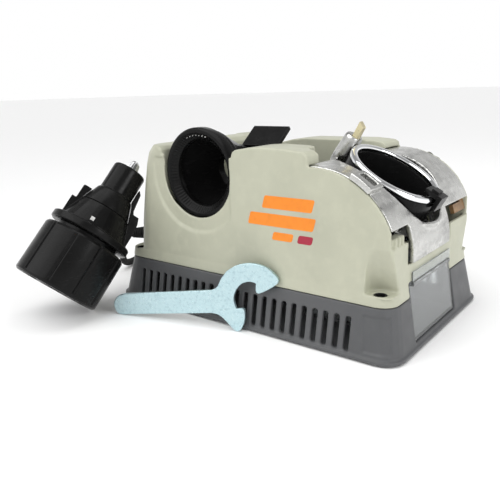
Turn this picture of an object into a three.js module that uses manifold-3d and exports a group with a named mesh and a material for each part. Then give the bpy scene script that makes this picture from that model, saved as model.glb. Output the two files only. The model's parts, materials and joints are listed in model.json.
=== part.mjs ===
// Drill bit sharpener: a motor-driven diamond wheel in a two-piece housing, with an alignment port on the
// left, a tilting sharpening port on the right, a loose bit chuck and a flat spanner.
// Millimetres. +X runs to the sharpening end, +Z is up, the front faces -Y, and z = 0 is the bench.
import * as THREE from "three";
import { mergeVertices } from "three/addons/utils/BufferGeometryUtils.js";
import Module from "manifold-3d";

const wasm = await Module();
wasm.setup();

// ---- Driving dimensions ----
const FOOT = { halfX: 125, halfY: 79, corner: 14, bottom: 1, top: 3.7 };
const SEAM = { halfX: 117.6, halfY: 71.6, corner: 12, z: 35 };
const WALL = 3;
const GAP = 0.3;
const LEDGE_Z = 42;
const HOUSING_TOP = 130;
const DECK_Z = 83.2;

const PIVOT = { x: 61, y: -8, z: 60 };
const PORT_TILT = THREE.MathUtils.degToRad(30);
const ARCH_R = 57.5;
const BAND = { outer: 57.8, inner: 54, halfY: 67.2 };

const ALIGN = { x: -37.9, z: 106.9, grooveR: 32.2 };
const HOOD = { x0: -4.2, x1: 57.6, frontY: -40, backY: 42 };
const HOOD_SHOULDER = 100;
const LEFT_BLOCK_X = -71.5;

const MOTOR = { y: -8, z: 41, canR: 28 };
const WHEEL = { r: 19, x0: 47, x1: 70 };
const TRAY = { y0: -43, y1: 28, z0: 6.5, z1: 44 };
const SCREW = { x: 107, y: 65 };

const CORD_D = 6.5;

// ---- Materials ----
function finish(color, roughness, metalness = 0, opacity = 1) {
  const see = opacity < 1;
  return new THREE.MeshStandardMaterial({ color, roughness, metalness, opacity, transparent: see });
}
const LOOK = {
  beige: () => finish(0xc3c4b0, 0.45),
  grey: () => finish(0x55575a, 0.55),
  black: () => finish(0x0c0c0d, 0.3),
  rubber: () => finish(0x151515, 0.85),
  cast: () => finish(0xb9bbba, 0.35, 1),
  chrome: () => finish(0xe4e6e8, 0.08, 1),
  steel: () => finish(0xb4b7ba, 0.3, 1),
  zinc: () => finish(0xbedee2, 0.35, 1),
  copper: () => finish(0xb56a3a, 0.4, 1),
  brass: () => finish(0xd8c98a, 0.3, 1),
  tan: () => finish(0x8a6a3c, 0.5),
  clear: () => finish(0xdfe6e8, 0.1, 0, 0.35),
  grit: () => finish(0x8f8c80, 0.8, 0.5),
};

// ---- Solids ----
function toSolid(geometry) {
  const bare = geometry.index ? geometry.toNonIndexed() : geometry;
  bare.deleteAttribute("normal");
  bare.deleteAttribute("uv");
  const merged = mergeVertices(bare, 1e-4);
  const kept = [];
  const index = merged.index.array;
  for (let i = 0; i < index.length; i += 3) {
    const [a, b, c] = [index[i], index[i + 1], index[i + 2]];
    if (a !== b && b !== c && c !== a) kept.push(a, b, c);
  }
  const vertProperties = merged.attributes.position.array;
  return new wasm.Manifold(
    new wasm.Mesh({ numProp: 3, vertProperties, triVerts: new Uint32Array(kept) }),
  );
}

function toGeometry(solid) {
  const mesh = solid.getMesh();
  const geometry = new THREE.BufferGeometry();
  geometry.setAttribute("position", new THREE.BufferAttribute(mesh.vertProperties, 3));
  geometry.setIndex(new THREE.BufferAttribute(mesh.triVerts, 1));
  const flat = geometry.toNonIndexed();
  flat.computeVertexNormals();
  return flat;
}

function join(...solids) {
  return solids.reduce((whole, next) => whole.add(next));
}

function cut(solid, ...tools) {
  return tools.reduce((left, tool) => left.subtract(tool), solid);
}

function box(x0, x1, y0, y1, z0, z1) {
  const geometry = new THREE.BoxGeometry(x1 - x0, y1 - y0, z1 - z0);
  return toSolid(geometry.translate((x0 + x1) / 2, (y0 + y1) / 2, (z0 + z1) / 2));
}

function shapeOf(outline) {
  if (outline instanceof THREE.Shape) return outline;
  return new THREE.Shape(outline.map((p) => new THREE.Vector2(...p)));
}

function extruded(outline, depth, axes, shift) {
  const options = { depth, bevelEnabled: false, curveSegments: 2 };
  const geometry = new THREE.ExtrudeGeometry(shapeOf(outline), options);
  geometry.applyMatrix4(new THREE.Matrix4().makeBasis(...axes));
  return toSolid(geometry.translate(...shift));
}

const X = new THREE.Vector3(1, 0, 0);
const Y = new THREE.Vector3(0, 1, 0);
const Z = new THREE.Vector3(0, 0, 1);
const extrudeZ = (outline, z0, z1) => extruded(outline, z1 - z0, [X, Y, Z], [0, 0, z0]);
const extrudeY = (outline, y0, y1) => extruded(outline, y1 - y0, [X, Z, Y.clone().negate()], [0, y1, 0]);
const extrudeX = (outline, x0, x1) => extruded(outline, x1 - x0, [Y, Z, X], [x0, 0, 0]);

// A profile of [radius, height] points turned about an axis through origin. It starts and ends on the axis,
// or closes on itself when its first point is off the axis.
function turned(profile, segments = 32, origin = [0, 0, 0], axis = Z) {
  const loop = profile[0][0] > 0 ? [...profile, profile[0]] : profile;
  let area = 0;
  loop.forEach(([r, h], i) => {
    const [nextR, nextH] = loop[(i + 1) % loop.length];
    area += r * nextH - nextR * h;
  });
  const ordered = area > 0 ? loop : [...loop].reverse();
  const geometry = new THREE.LatheGeometry(ordered.map((p) => new THREE.Vector2(...p)), segments);
  geometry.applyQuaternion(new THREE.Quaternion().setFromUnitVectors(Y, axis));
  return toSolid(geometry.translate(...origin));
}

function rod(r, h0, h1, segments, origin, axis) {
  return turned([[0, h0], [r, h0], [r, h1], [0, h1]], segments, origin, axis);
}

function ring(r0, r1, h0, h1, segments, origin, axis) {
  return turned([[r0, h0], [r1, h0], [r1, h1], [r0, h1]], segments, origin, axis);
}

// A rectangle in plan with its own corner radius at the left and at the right end.
function roundedPlan(x0, x1, halfY, leftR, rightR, steps = 5) {
  const corners = [[x1, halfY, rightR], [x0, halfY, leftR], [x0, -halfY, leftR], [x1, -halfY, rightR]];
  return corners.flatMap(([x, y, r], quarter) => {
    const centre = [x - Math.sign(x) * r, y - Math.sign(y) * r];
    return Array.from({ length: steps + 1 }, (_, i) => {
      const angle = (quarter + i / steps) * (Math.PI / 2);
      return [centre[0] + r * Math.cos(angle), centre[1] + r * Math.sin(angle)];
    });
  });
}

// A closed skin through plans of equal length, each at its own height.
function loft(levels) {
  const count = levels[0].plan.length;
  const points = levels.flatMap(({ plan, z }) => plan.map(([x, y]) => [x, y, z]));
  const faces = [];
  for (let level = 0; level < levels.length - 1; level++) {
    for (let i = 0; i < count; i++) {
      const [a, b] = [level * count + i, level * count + ((i + 1) % count)];
      faces.push(a, b, b + count, a, b + count, a + count);
    }
  }
  const last = (levels.length - 1) * count;
  for (let i = 1; i < count - 1; i++) {
    faces.push(0, i + 1, i);
    faces.push(last, last + i, last + i + 1);
  }
  const geometry = new THREE.BufferGeometry();
  geometry.setAttribute("position", new THREE.Float32BufferAttribute(points.flat(), 3));
  geometry.setIndex(faces);
  return toSolid(geometry);
}

function arcPoints(cx, cz, r, fromDeg, toDeg, steps) {
  return Array.from({ length: steps + 1 }, (_, i) => {
    const angle = THREE.MathUtils.degToRad(fromDeg + ((toDeg - fromDeg) * i) / steps);
    return [cx + r * Math.cos(angle), cz + r * Math.sin(angle)];
  });
}

// Part of a ring about an axis along Y, as an outline in the XZ plane.
function sector(cx, cz, r0, r1, fromDeg, toDeg, steps) {
  return [...arcPoints(cx, cz, r1, fromDeg, toDeg, steps), ...arcPoints(cx, cz, r0, toDeg, fromDeg, steps)];
}

// ---- The scene graph ----
const sharpener = new THREE.Group();

function place(name, solid, look, group = sharpener) {
  const mesh = new THREE.Mesh(toGeometry(solid), LOOK[look]());
  mesh.name = name;
  group.add(mesh);
  return mesh;
}

// ---- Base tray ----
function baseBlock(inset, z0, z1) {
  const slope = (123.3 - SEAM.halfX) / (SEAM.z - FOOT.top);
  const level = (z) => {
    const grow = (SEAM.z - z) * slope - inset;
    const corner = Math.max(SEAM.corner + 1 - inset, 2);
    return { plan: roundedPlan(-SEAM.halfX - grow, SEAM.halfX + grow, SEAM.halfY + grow, corner, corner), z };
  };
  return loft([level(z0), level(z1)]);
}

const VENT = { count: 24, first: -97.3, pitch: 8.13, width: 3.9, z0: 4.4, z1: 26.4 };

function baseTray() {
  const footPlan = roundedPlan(-FOOT.halfX, FOOT.halfX, FOOT.halfY, FOOT.corner, FOOT.corner);
  const lip = loft([{ plan: footPlan, z: FOOT.bottom }, { plan: footPlan, z: FOOT.top }]);
  const wall = baseBlock(0, FOOT.top - 0.2, SEAM.z - GAP);
  const cornerPanel = extrudeY([[98.3, 29.7], [101.4, 6.6], [119, 6.6], [115.5, 29.7]], -90, -55);
  const panelSkin = cornerPanel.subtract(baseBlock(0.9, 0, 40));
  let tray = cut(join(lip, wall), baseBlock(WALL, 4, SEAM.z + 1), panelSkin);
  for (const [x, y] of cornerSpots()) {
    const boss = rod(5.6, 3, SEAM.z - GAP, 16, [x, y, 0], Z).intersect(baseBlock(0, 2, SEAM.z - GAP));
    tray = cut(tray.add(boss), rod(1.8, 15, 40, 10, [x, y, 0], Z));
  }
  for (let i = 0; i < VENT.count; i++) {
    const x = VENT.first + i * VENT.pitch;
    const slot = box(x - VENT.width / 2, x + VENT.width / 2, -90, 90, VENT.z0, VENT.z1);
    const inside = box(x - VENT.width, x + VENT.width, -66, 66, 0, 40);
    tray = tray.subtract(slot.subtract(inside));
  }
  for (const [x, y] of footSpots()) tray = tray.subtract(rod(8 + GAP, 0, 2.8, 20, [x, y, 0], Z));
  return tray.subtract(box(108, 130, TRAY.y0 - 0.6, TRAY.y1 + 0.6, TRAY.z0 - 1, 40));
}

function cornerSpots() {
  return [[-SCREW.x, -SCREW.y], [SCREW.x, -SCREW.y], [-SCREW.x, SCREW.y], [SCREW.x, SCREW.y]];
}

function footSpots() {
  return [[-104, -60], [104, -60], [-104, 60], [104, 60]];
}

place("base_tray", baseTray(), "grey");
footSpots().forEach(([x, y], i) => {
  place("rubber_foot_" + (i + 1), rod(8, 0, 2.5, 20, [x, y, 0], Z), "rubber");
});
cornerSpots().forEach(([x, y], i) => {
  const shank = rod(1.5, 17, 37.4, 10, [x, y, 0], Z);
  const head = turned([[0, 37], [3.5, 37], [3.5, 38.2], [2.4, 39], [0, 39]], 16, [x, y, 0], Z);
  const socket = extrudeZ([[x - 1, y - 1], [x + 1, y - 1], [x + 1, y + 1], [x - 1, y + 1]], 38, 40);
  place("housing_screw_" + (i + 1), cut(join(shank, head), socket), "black");
});

// ---- Upper housing ----
// The tower above the ledge, its left end drawn in as it rises.
function tower(inset, bottom) {
  const leftEdge = [
    [LEDGE_Z, -111], [70, -107], [95, -102.5], [112, -98.8], [120, -96], [125, -91.5], [HOUSING_TOP, -84],
  ];
  const levels = leftEdge.map(([z, x]) => {
    const rise = (z - LEDGE_Z) / (HOUSING_TOP - LEDGE_Z);
    const halfY = THREE.MathUtils.lerp(70.7, 69.6, rise) - inset;
    const right = THREE.MathUtils.lerp(116.3, 114, rise) - inset;
    return { plan: roundedPlan(x + inset, right, halfY, 18 - inset, 5), z };
  });
  levels[0].z = bottom;
  return loft(levels);
}

function frontProfile(drop) {
  const hood = [
    [54, 126.4], [57, 124], [HOOD.x1, 121], [HOOD.x1, PIVOT.z + ARCH_R],
  ];
  const arch = arcPoints(PIVOT.x, PIVOT.z, ARCH_R, 93, 6, 30);
  const outline = [
    [-120, 30], [-120, 126.2], [LEFT_BLOCK_X - 8, 126.2], [LEFT_BLOCK_X - 3, 125.6], [LEFT_BLOCK_X, 123],
    [LEFT_BLOCK_X, 120], [HOOD.x0, 120], [HOOD.x0 + 0.6, 123.6], [HOOD.x0 + 3.4, 125.6],
    [10, 127.4], [22, 128.3], [40, 127.8], ...hood, ...arch, [119, 30],
  ];
  return outline.map(([x, z]) => [x, z > 100 && x < HOOD.x1 + 1 ? z - drop : z]);
}

function backProfile(drop) {
  const arch = arcPoints(PIVOT.x, PIVOT.z, ARCH_R, 93, 6, 30);
  const outline = [
    [-120, 30], [-120, 127], [LEFT_BLOCK_X - 9, 127], [LEFT_BLOCK_X - 3, 125.6], [LEFT_BLOCK_X, 122],
    [LEFT_BLOCK_X, 112], [-43, 112], [-42.4, 117], [-38, 120.6], [-28, 123], [-15, 124.3], [40, 124.6],
    [54, 123.4], [57, 121.6], [HOOD.x1, 119.6], ...arch, [119, 30],
  ];
  return outline.map(([x, z]) => [x, z > 100 && x < HOOD.x1 + 1 ? z - drop : z]);
}

// A corner recess above a ledge screw: deep at the ledge, running out near the top of the arch.
function scoop(side, grow) {
  const plan = (left, depth) => {
    const points = [
      [left, 80], [left + 0.6, depth + 4], [left + 3, depth + 1.4], [left + 7, depth],
      [130, depth], [130, 80],
    ];
    return points.map(([x, y]) => [x - grow, y > 79 ? y : y - grow]);
  };
  const solid = loft([
    { plan: plan(98.3, 57.5), z: LEDGE_Z - grow },
    { plan: plan(99.8, 69.2), z: 71 },
    { plan: plan(101.4, 69.5), z: 104 },
  ]);
  return side > 0 ? solid : solid.mirror([0, 1, 0]);
}

// The front hood's right end stops short at the back, where the band comes out from under it.
function hoodCorner(grow) {
  const plan = [[44, -30], [46.5, -49], [49, -53], [53, -55], [70, -55], [70, -30]];
  return extrudeZ(plan.map(([x, y]) => [x - grow, y > -31 ? y : y - grow]), HOOD_SHOULDER, 140);
}

function housingOuter() {
  const skirtPlan = (grow) => {
    const r = SEAM.corner;
    return roundedPlan(-SEAM.halfX + grow, SEAM.halfX - grow, SEAM.halfY - grow * 0.6, r, r);
  };
  const skirt = loft([{ plan: skirtPlan(0), z: SEAM.z }, { plan: skirtPlan(1.2), z: LEDGE_Z }]);
  const body = tower(0, LEDGE_Z - 1);
  const middle = [
    [-120, 30], [-120, 126.4], [LEFT_BLOCK_X - 8, 126.4], [LEFT_BLOCK_X - 3, 125.4], [LEFT_BLOCK_X, 122],
    [LEFT_BLOCK_X, DECK_Z], [111, DECK_Z], [119, 80], [119, 30],
  ];
  const front = cut(body.intersect(extrudeY(frontProfile(0), -75, HOOD.frontY)), hoodCorner(0));
  const core = body.intersect(extrudeY(middle, HOOD.frontY - 0.5, HOOD.backY + 0.5));
  const back = body.intersect(extrudeY(backProfile(0), HOOD.backY, 75));
  return cut(join(skirt, front, core, back), scoop(-1, 0), scoop(1, 0));
}

function housingHollow() {
  const innerY = BAND.halfY + 0.4;
  const inner = tower(WALL, SEAM.z - 2);
  const low = inner.intersect(box(-130, 130, -80, 80, 30, DECK_Z));
  const corners = [scoop(-1, WALL - 1), scoop(1, WALL - 1)];
  const lowInside = cut(low, ...corners, ...cornerPads());
  const hoodSpan = box(HOOD.x0 + WALL, HOOD.x1 - WALL, -innerY, innerY, DECK_Z - 1, 140);
  const frontRoom = extrudeY(frontProfile(WALL), -innerY, HOOD.frontY - WALL);
  const frontHood = hoodSpan.intersect(frontRoom).subtract(hoodCorner(WALL - 1));
  const backSpan = box(-43 + WALL, HOOD.x1 - WALL, -innerY, innerY, DECK_Z - 1, 140);
  const backHood = backSpan.intersect(extrudeY(backProfile(WALL), HOOD.backY + WALL, innerY));
  const leftBlock = inner.intersect(box(-120, LEFT_BLOCK_X - WALL, -innerY, innerY, DECK_Z - 1, 123));
  const valley = box(LEFT_BLOCK_X, HOOD.x0, -innerY, innerY, DECK_Z - 1, 140)
    .subtract(box(-44, 0, HOOD.backY, 80, 0, 150));
  const well = box(LEFT_BLOCK_X, HOOD.x1, HOOD.frontY, HOOD.backY, DECK_Z - 1, 140);
  const sleeveRoom = box(38, HOOD.x1, -49, HOOD.backY, DECK_Z - 1, 116);
  const archSlot = box(HOOD.x1, 112.8, -innerY, innerY, DECK_Z - 1, 140);
  const bandPath = sector(PIVOT.x, PIVOT.z, BAND.inner - 0.6, BAND.outer + 0.6, 84, 125, 10);
  const stripPath = sector(PIVOT.x, PIVOT.z, 50.4, BAND.inner, 84, 122, 10);
  const underHood = extrudeY(bandPath, -innerY, innerY);
  const stripSlots = extrudeY(stripPath, -innerY, innerY).subtract(box(0, 120, -61.6, 59.4, 0, 140));
  const rooms = [lowInside, frontHood, backHood, leftBlock, valley, well, sleeveRoom];
  return [...rooms, archSlot, underHood, stripSlots];
}

// Solid corners that carry the ledge screws.
function cornerPads() {
  return cornerSpots().map(([x, y]) => rod(5.6, 0, LEDGE_Z, 16, [x, y, 0], Z));
}

function housing() {
  let shell = cut(housingOuter(), ...housingHollow());
  const bore = [ALIGN.x, 0, ALIGN.z];
  const groove = rod(ALIGN.grooveR, -80, -60, 48, bore, Y);
  const mouth = box(ALIGN.x - 31.5, ALIGN.x + 31.6, -80, -60, ALIGN.z + 2, 140);
  const recessRing = turned(
    [[30, -80], [45, -80], [45, -70.9], [41.6, -68.9], [30, -68.9]], 48, bore, Y,
  ).intersect(box(-90, -5.9, -80, -60, 50, 118));
  shell = cut(shell, groove, mouth, recessRing);
  const notch = box(108, 122, -45.5, 29.5, 57, 140);
  const frontPost = box(104, 122, -67.6, -45.4, 71.8, 140);
  const backPost = box(104, 122, 29.4, 67.6, 69, 140);
  const trayMouth = box(106, 125, TRAY.y0 - 0.6, TRAY.y1 + 0.6, 30, TRAY.z1 + 0.6);
  shell = cut(shell, notch, frontPost, backPost, trayMouth);
  shell = shell.add(box(107.5, 113, -68, -48.5, 70, 77));
  for (const y of [-62, -57, -52]) shell = shell.add(box(112.9, 115.2, y - 1, y + 1, 70, 77.5));
  for (const [x, y] of cornerSpots()) {
    const spot = [x, y, 0];
    shell = cut(shell, rod(4.3, 36.7, LEDGE_Z + 1, 20, spot, Z), rod(2, 30, 45, 12, spot, Z));
    if (x < 0) shell = shell.subtract(rod(6, LEDGE_Z, 72, 16, spot, Z));
  }
  const lockSlot = sector(PIVOT.x, PIVOT.z, 40.5, 47.5, 65, 87, 6);
  const switchHole = box(-72, -48, 60, 80, 54, 72);
  const cordHole = rod(6.3, -120, -98, 16, [0, CORD_EXIT.y, CORD_EXIT.z], X);
  return cut(shell, extrudeY(lockSlot, 60, 80), switchHole, cordHole);
}

const CORD_EXIT = { x: -112.3, y: -46, z: 49.5 };

place("upper_housing", housing(), "beige");

// ---- Motor and drive, all about one axis along X ----
const motorAxis = [0, MOTOR.y, MOTOR.z];
const onShaft = (profile, segments) => turned(profile, segments, motorAxis, X);

function motorCan() {
  const shell = onShaft([[0, -62], [MOTOR.canR, -62], [MOTOR.canR, 12], [26, 14], [0, 14]], 36);
  const inside = onShaft([[0, -63], [25.5, -63], [25.5, 9], [0, 9]], 36);
  const nose = rod(11, 9, 17, 24, motorAxis, X);
  const bearingSeat = rod(8.3, 8, 14.5, 24, motorAxis, X);
  return cut(join(cut(shell, inside), nose), bearingSeat, rod(4.6, 8, 20, 16, motorAxis, X));
}

function endBell() {
  const rim = -62 - GAP;
  const cup = onShaft([[0, -76], [16, -76], [20, -71], [MOTOR.canR, -68], [MOTOR.canR, rim], [0, rim]], 36);
  const pocket = rod(8.3, -71.3, -60, 24, motorAxis, X);
  return cut(cup, pocket, rod(4.6, -80, -60, 16, motorAxis, X), ring(11, 25.5, -66, -60, 36, motorAxis, X));
}

place("motor_can", motorCan(), "steel");
place("motor_end_bell", endBell(), "black");
place("front_bearing", ring(4.3, 8, 8.6, 14.2, 24, motorAxis, X), "steel");
place("rear_bearing", ring(4.3, 8, -71, -65.4, 24, motorAxis, X), "steel");
place("rotor_shaft", rod(4, -73, 76, 24, motorAxis, X), "steel");
place("armature", ring(4.3, 19, -45, -10, 24, motorAxis, X), "copper");
place("commutator", ring(4.3, 9, -59, -48, 24, motorAxis, X), "copper");
for (const [name, side] of [["carbon_brush_front", -1], ["carbon_brush_back", 1]]) {
  const [near, far] = [MOTOR.y + side * 9.4, MOTOR.y + side * 19];
  place(name, box(-56, -51, Math.min(near, far), Math.max(near, far), MOTOR.z - 3, MOTOR.z + 3), "rubber");
}

function coolingFan() {
  const blade = box(-3.6, 5, 8, 23, -0.8, 0.8);
  let fan = join(ring(4.3, 9.5, -4, 6, 24, [0, 0, 0], X), ring(8, 23, -5, -3.4, 24, [0, 0, 0], X));
  for (let i = 0; i < 8; i++) fan = fan.add(blade.rotate([i * 45, 0, 0]));
  return fan.translate([0, MOTOR.y, MOTOR.z]);
}

place("cooling_fan", coolingFan(), "black");

function motorCradle() {
  const plate = box(-56, 10, MOTOR.y - 22, MOTOR.y + 22, 4.3, 7);
  const cheeks = [-50, 1].map((x) => box(x, x + 6, MOTOR.y - 22, MOTOR.y + 22, 6, 27));
  return cut(join(plate, ...cheeks), rod(MOTOR.canR + GAP, -70, 20, 36, motorAxis, X));
}

place("motor_cradle", motorCradle(), "grey");
const hubProfile = [[4.3, 40], [13, 40], [13, 46.5], [8, 46.5], [8, 70.2], [4.3, 70.2]];
place("wheel_hub", onShaft(hubProfile, 24), "steel");
place("diamond_wheel", ring(8.3, WHEEL.r, WHEEL.x0, WHEEL.x1, 40, motorAxis, X), "grit");
place("wheel_retainer", ring(4.3, 12, 70.6, 74, 24, motorAxis, X), "steel");

// ---- Sharpening port: everything that tilts about the pivot, drawn square to the port ----
const portHead = new THREE.Group();
portHead.position.set(PIVOT.x, PIVOT.y, PIVOT.z);
portHead.rotation.y = PORT_TILT;
sharpener.add(portHead);

const PORT = { boreR: 28.7, sleeveR: 33.2, castingR: 39.6 };
const TILT_DEG = 30;
const headBack = BAND.halfY - PIVOT.y;
const headFront = -BAND.halfY - PIVOT.y;

// Outlines in the port head are given by their world angle, which the tilt turns by 30 degrees.
function headSector(r0, r1, fromDeg, toDeg, steps) {
  return sector(0, 0, r0, r1, fromDeg + TILT_DEG, toDeg + TILT_DEG, steps);
}

const FRAME = { from: 48.5, to: 64, inner: 58.1, outer: 62.2, frontY: headFront - 3.4, backY: -46 };
const WINDOW = { from: 51, to: 61.5, floor: 56.4, y0: -56.5, y1: -49 };

function saddleCasting() {
  const band = extrudeY(headSector(BAND.inner, BAND.outer, 23, 110, 40), headFront, headBack);
  const tongue = extrudeY(headSector(BAND.inner + 0.4, BAND.outer, -2, 24, 8), -43 - PIVOT.y, 20 - PIVOT.y);
  const cup = ring(PORT.castingR, PORT.castingR + 2.6, 32.9, 54.5, 40);
  const collar = cup.intersect(rod(BAND.outer, -90, 90, 64, [0, 0, 0], Y));
  const lip = ring(PORT.castingR, PORT.castingR + 2.6, 34, 44.5, 40).intersect(box(15, 60, -50, 50, 30, 60));
  const bossProfile = [[0, 37.5], [8.2, 37.5], [8.2, 43], [7.2, 54], [6.6, 59.5], [5.6, 61], [0, 61]];
  const boss = turned(bossProfile, 24, [-38.6, 0, 0], Z);
  const frameOutline = headSector(FRAME.inner, FRAME.outer, FRAME.from, FRAME.to, 4);
  const frameFoot = headSector(BAND.outer - 1, FRAME.outer, FRAME.from, FRAME.to, 4);
  const lug = extrudeY(frameOutline, FRAME.frontY, headFront + 1);
  const windowFrame = lug.add(extrudeY(frameFoot, headFront, FRAME.backY));
  const windowHole = headSector(WINDOW.floor, FRAME.outer + 1, WINDOW.from, WINDOW.to, 4);
  const web = extrudeY(headSector(37, BAND.inner + 1, 61, 79, 4), 56 - PIVOT.y, 59.6 - PIVOT.y);
  const studHole = rod(3.2, 50, 80, 16, lockCentre(), Y);
  const bore = rod(PORT.castingR, 30, 59, 40);
  const ringClear = rod(34.2, 30, 70, 40);
  const body = join(band, tongue, collar, lip, windowFrame, web);
  return cut(
    body.subtract(bore).add(boss.subtract(rod(PORT.castingR, 30, 45.5, 40))),
    ringClear, extrudeY(windowHole, WINDOW.y0, WINDOW.y1), studHole, pinBlock(0.3, 52),
  );
}

const LOCK = { r: 44, deg: 70 };

function lockCentre() {
  const angle = THREE.MathUtils.degToRad(LOCK.deg + TILT_DEG);
  return [LOCK.r * Math.cos(angle), 0, LOCK.r * Math.sin(angle)];
}

// The square follower pin beside the port, its top cut slantwise.
function pinBlock(grow, bottom) {
  const [x, y, half] = [-37, -1, 2.2 + grow];
  const outline = [[x - half, bottom], [x + half, bottom], [x + half, 69.5 + grow], [x - half, 71.8 + grow]];
  return extrudeY(outline, y - half, y + half);
}

function scalePlate() {
  const [r0, inset] = [WINDOW.floor + 0.25, 0.4];
  return extrudeY(
    headSector(r0, r0 + 0.9, WINDOW.from + inset, WINDOW.to - inset, 4), WINDOW.y0 + inset, WINDOW.y1 - inset,
  );
}

function guideTab() {
  const tongue = box(24.5, 37, -6, 6, 57.8, 60.8);
  const hook = box(34, 37, -6, 6, 50.5, 58.5);
  return join(tongue, hook, box(28, 33, -4, 4, 60.5, 62.2));
}

place("saddle_casting", saddleCasting(), "cast", portHead);
place(
  "chrome_ring",
  turned([[28.7, 54], [33.6, 54], [33.6, 56.2], [32.7, 57.5], [29.7, 57.5], [28.7, 56.6]], 48),
  "chrome", portHead,
);
const sleeve = join(ring(PORT.boreR, PORT.sleeveR, 22, 53.7, 40), ring(30, 39.2, 30, 32.6, 40));
place("port_sleeve", sleeve, "black", portHead);
place("follower_pin", pinBlock(0, 52.3), "brass", portHead);
place("guide_tab", guideTab(), "black", portHead);
place("angle_scale_plate", scalePlate(), "steel", portHead);

function lockStud() {
  const [x, , z] = lockCentre();
  return join(rod(2.9, 52, 89, 16, [x, 0, z], Y), rod(5, 58.5, 63.7, 6, [x, 0, z], Y));
}

function lockKnob() {
  const [x, , z] = lockCentre();
  const lobes = Array.from({ length: 60 }, (_, i) => {
    const angle = (i / 60) * Math.PI * 2;
    const r = 10.4 + 0.8 * Math.cos(angle * 6);
    return [x + r * Math.cos(angle), z + r * Math.sin(angle)];
  });
  return cut(extrudeY(lobes, 79.4, 93), rod(3.2, 70, 90, 16, [x, 0, z], Y));
}

place("lock_stud", lockStud(), "steel", portHead);
place("lock_knob", lockKnob(), "black", portHead);

// ---- Wear strips that the band slides on ----
place("wear_strip_front", extrudeY(sector(PIVOT.x, PIVOT.z, 50.8, 53.7, 27, 118, 24), -67.2, -62), "tan");
place(
  "wear_strip_back",
  join(
    extrudeY(sector(PIVOT.x, PIVOT.z, 50.8, 53.7, 14, 118, 28), 60, 67.2),
    extrudeY(sector(PIVOT.x, PIVOT.z, 50.8, 53.7, 14, 21, 2), 44, 61),
  ),
  "tan",
);

// ---- Alignment port ----
const bore = [ALIGN.x, 0, ALIGN.z];

place(
  "alignment_ring",
  turned([[24.4, -58.3], [33, -58.3], [33, -65], [31.6, -66.6], [29.4, -66.6], [24.4, -61.5]], 48, bore, Y),
  "black",
);

function alignmentTube() {
  const barrel = turned(
    [[0, -58], [31, -58], [31, -52.5], [18.5, -25], [17.5, -23], [17.5, -18.6], [0, -18.6]], 40, bore, Y,
  );
  const ears = box(LEFT_BLOCK_X + GAP, HOOD.x0 - GAP, -45, -37, 97, 113);
  const hollow = turned(
    [[0, -60], [27.5, -60], [27.5, -53], [15, -26], [15, -10], [0, -10]], 40, bore, Y,
  );
  return cut(join(barrel, ears), hollow);
}

place("alignment_tube", alignmentTube(), "black");

function innerDeck() {
  const plan = [
    [LEFT_BLOCK_X + GAP, -16], [HOOD.x0 - 0.2, -16], [HOOD.x0 - 0.2, HOOD.frontY + GAP],
    [30, HOOD.frontY + GAP], [30, HOOD.backY - GAP], [LEFT_BLOCK_X + GAP, HOOD.backY - GAP],
  ];
  return extrudeZ(plan, DECK_Z + 0.5, DECK_Z + 3);
}

place("inner_deck", innerDeck(), "black");

const LEVER_PIVOT = { y: -13, z: 115.5 };
const leverAxis = [0, LEVER_PIVOT.y, LEVER_PIVOT.z];

function leverBracket() {
  const plate = box(-64, 8, -15.5, 16, DECK_Z + 3.3, DECK_Z + 6);
  const foot = DECK_Z + 4;
  const cheekSide = [
    [-17.5, foot], [-8.5, foot], [-8.5, 114], [-10, 118.5], [-13, 119.8], [-16, 118.5], [-17.5, 114],
  ];
  const cheeks = [-23.8, 1.2].map((x) => extrudeX(cheekSide, x, x + 3));
  const footing = box(-24, 5, -17.5, -14, DECK_Z + 3.3, DECK_Z + 6);
  const carrier = box(ALIGN.x - 15, ALIGN.x + 11, 1, 7, DECK_Z + 4, 97.6);
  return cut(join(plate, footing, ...cheeks, carrier), rod(1.8, -40, 10, 12, leverAxis, X));
}

function timingLever() {
  const paddle = [[-17, 123.5], [0, 137], [1.9, 134.6], [-15.1, 121.1]];
  const neck = [[-15.4, 115], [-16, 122.4], [-10, 126], [-9.6, 115]];
  const arm = [[-15, 99], [-11, 99], [-10.6, 115], [-15.4, 115]];
  const barrel = rod(3.6, -20.4, -4.4, 20, leverAxis, X);
  const lever = join(extrudeX(paddle, -36, -2), extrudeX(neck, -18.5, -6), extrudeX(arm, -14, -9), barrel);
  return lever.subtract(rod(1.8, -40, 10, 12, leverAxis, X));
}

function leverSpring() {
  const [turns, perTurn, r, wire] = [3, 14, 2.9, 0.35];
  const path = Array.from({ length: turns * perTurn + 1 }, (_, i) => {
    const angle = (i / perTurn) * Math.PI * 2;
    const along = -3.4 + (i / perTurn) * 1.2;
    return new THREE.Vector3(along, LEVER_PIVOT.y + r * Math.cos(angle), LEVER_PIVOT.z + r * Math.sin(angle));
  });
  const section = new THREE.Shape().absarc(0, 0, wire, 0, Math.PI * 2);
  const curve = new THREE.CatmullRomCurve3(path);
  const options = { steps: turns * perTurn, extrudePath: curve, curveSegments: 3 };
  return toSolid(new THREE.ExtrudeGeometry(section, options));
}

place("lever_bracket", leverBracket(), "black");
place("timing_lever", timingLever(), "black");
place("lever_pin", rod(1.5, -24.4, 4.8, 12, leverAxis, X), "steel");
place("lever_spring", leverSpring(), "steel");

// The claws sit behind the end of the alignment bore and close on a bit's flutes.
for (const [name, side] of [["timing_claw_left", -1], ["timing_claw_right", 1]]) {
  const at = (x) => ALIGN.x + side * x;
  const outline = [[at(2.6), 104], [at(2.6), 110], [at(6), 114], [at(11), 114], [at(11), 98], [at(7), 98]];
  const ordered = side > 0 ? outline : [...outline].reverse();
  place(name, extrudeY(ordered, 1.5, 6.5), "steel");
}

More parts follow.
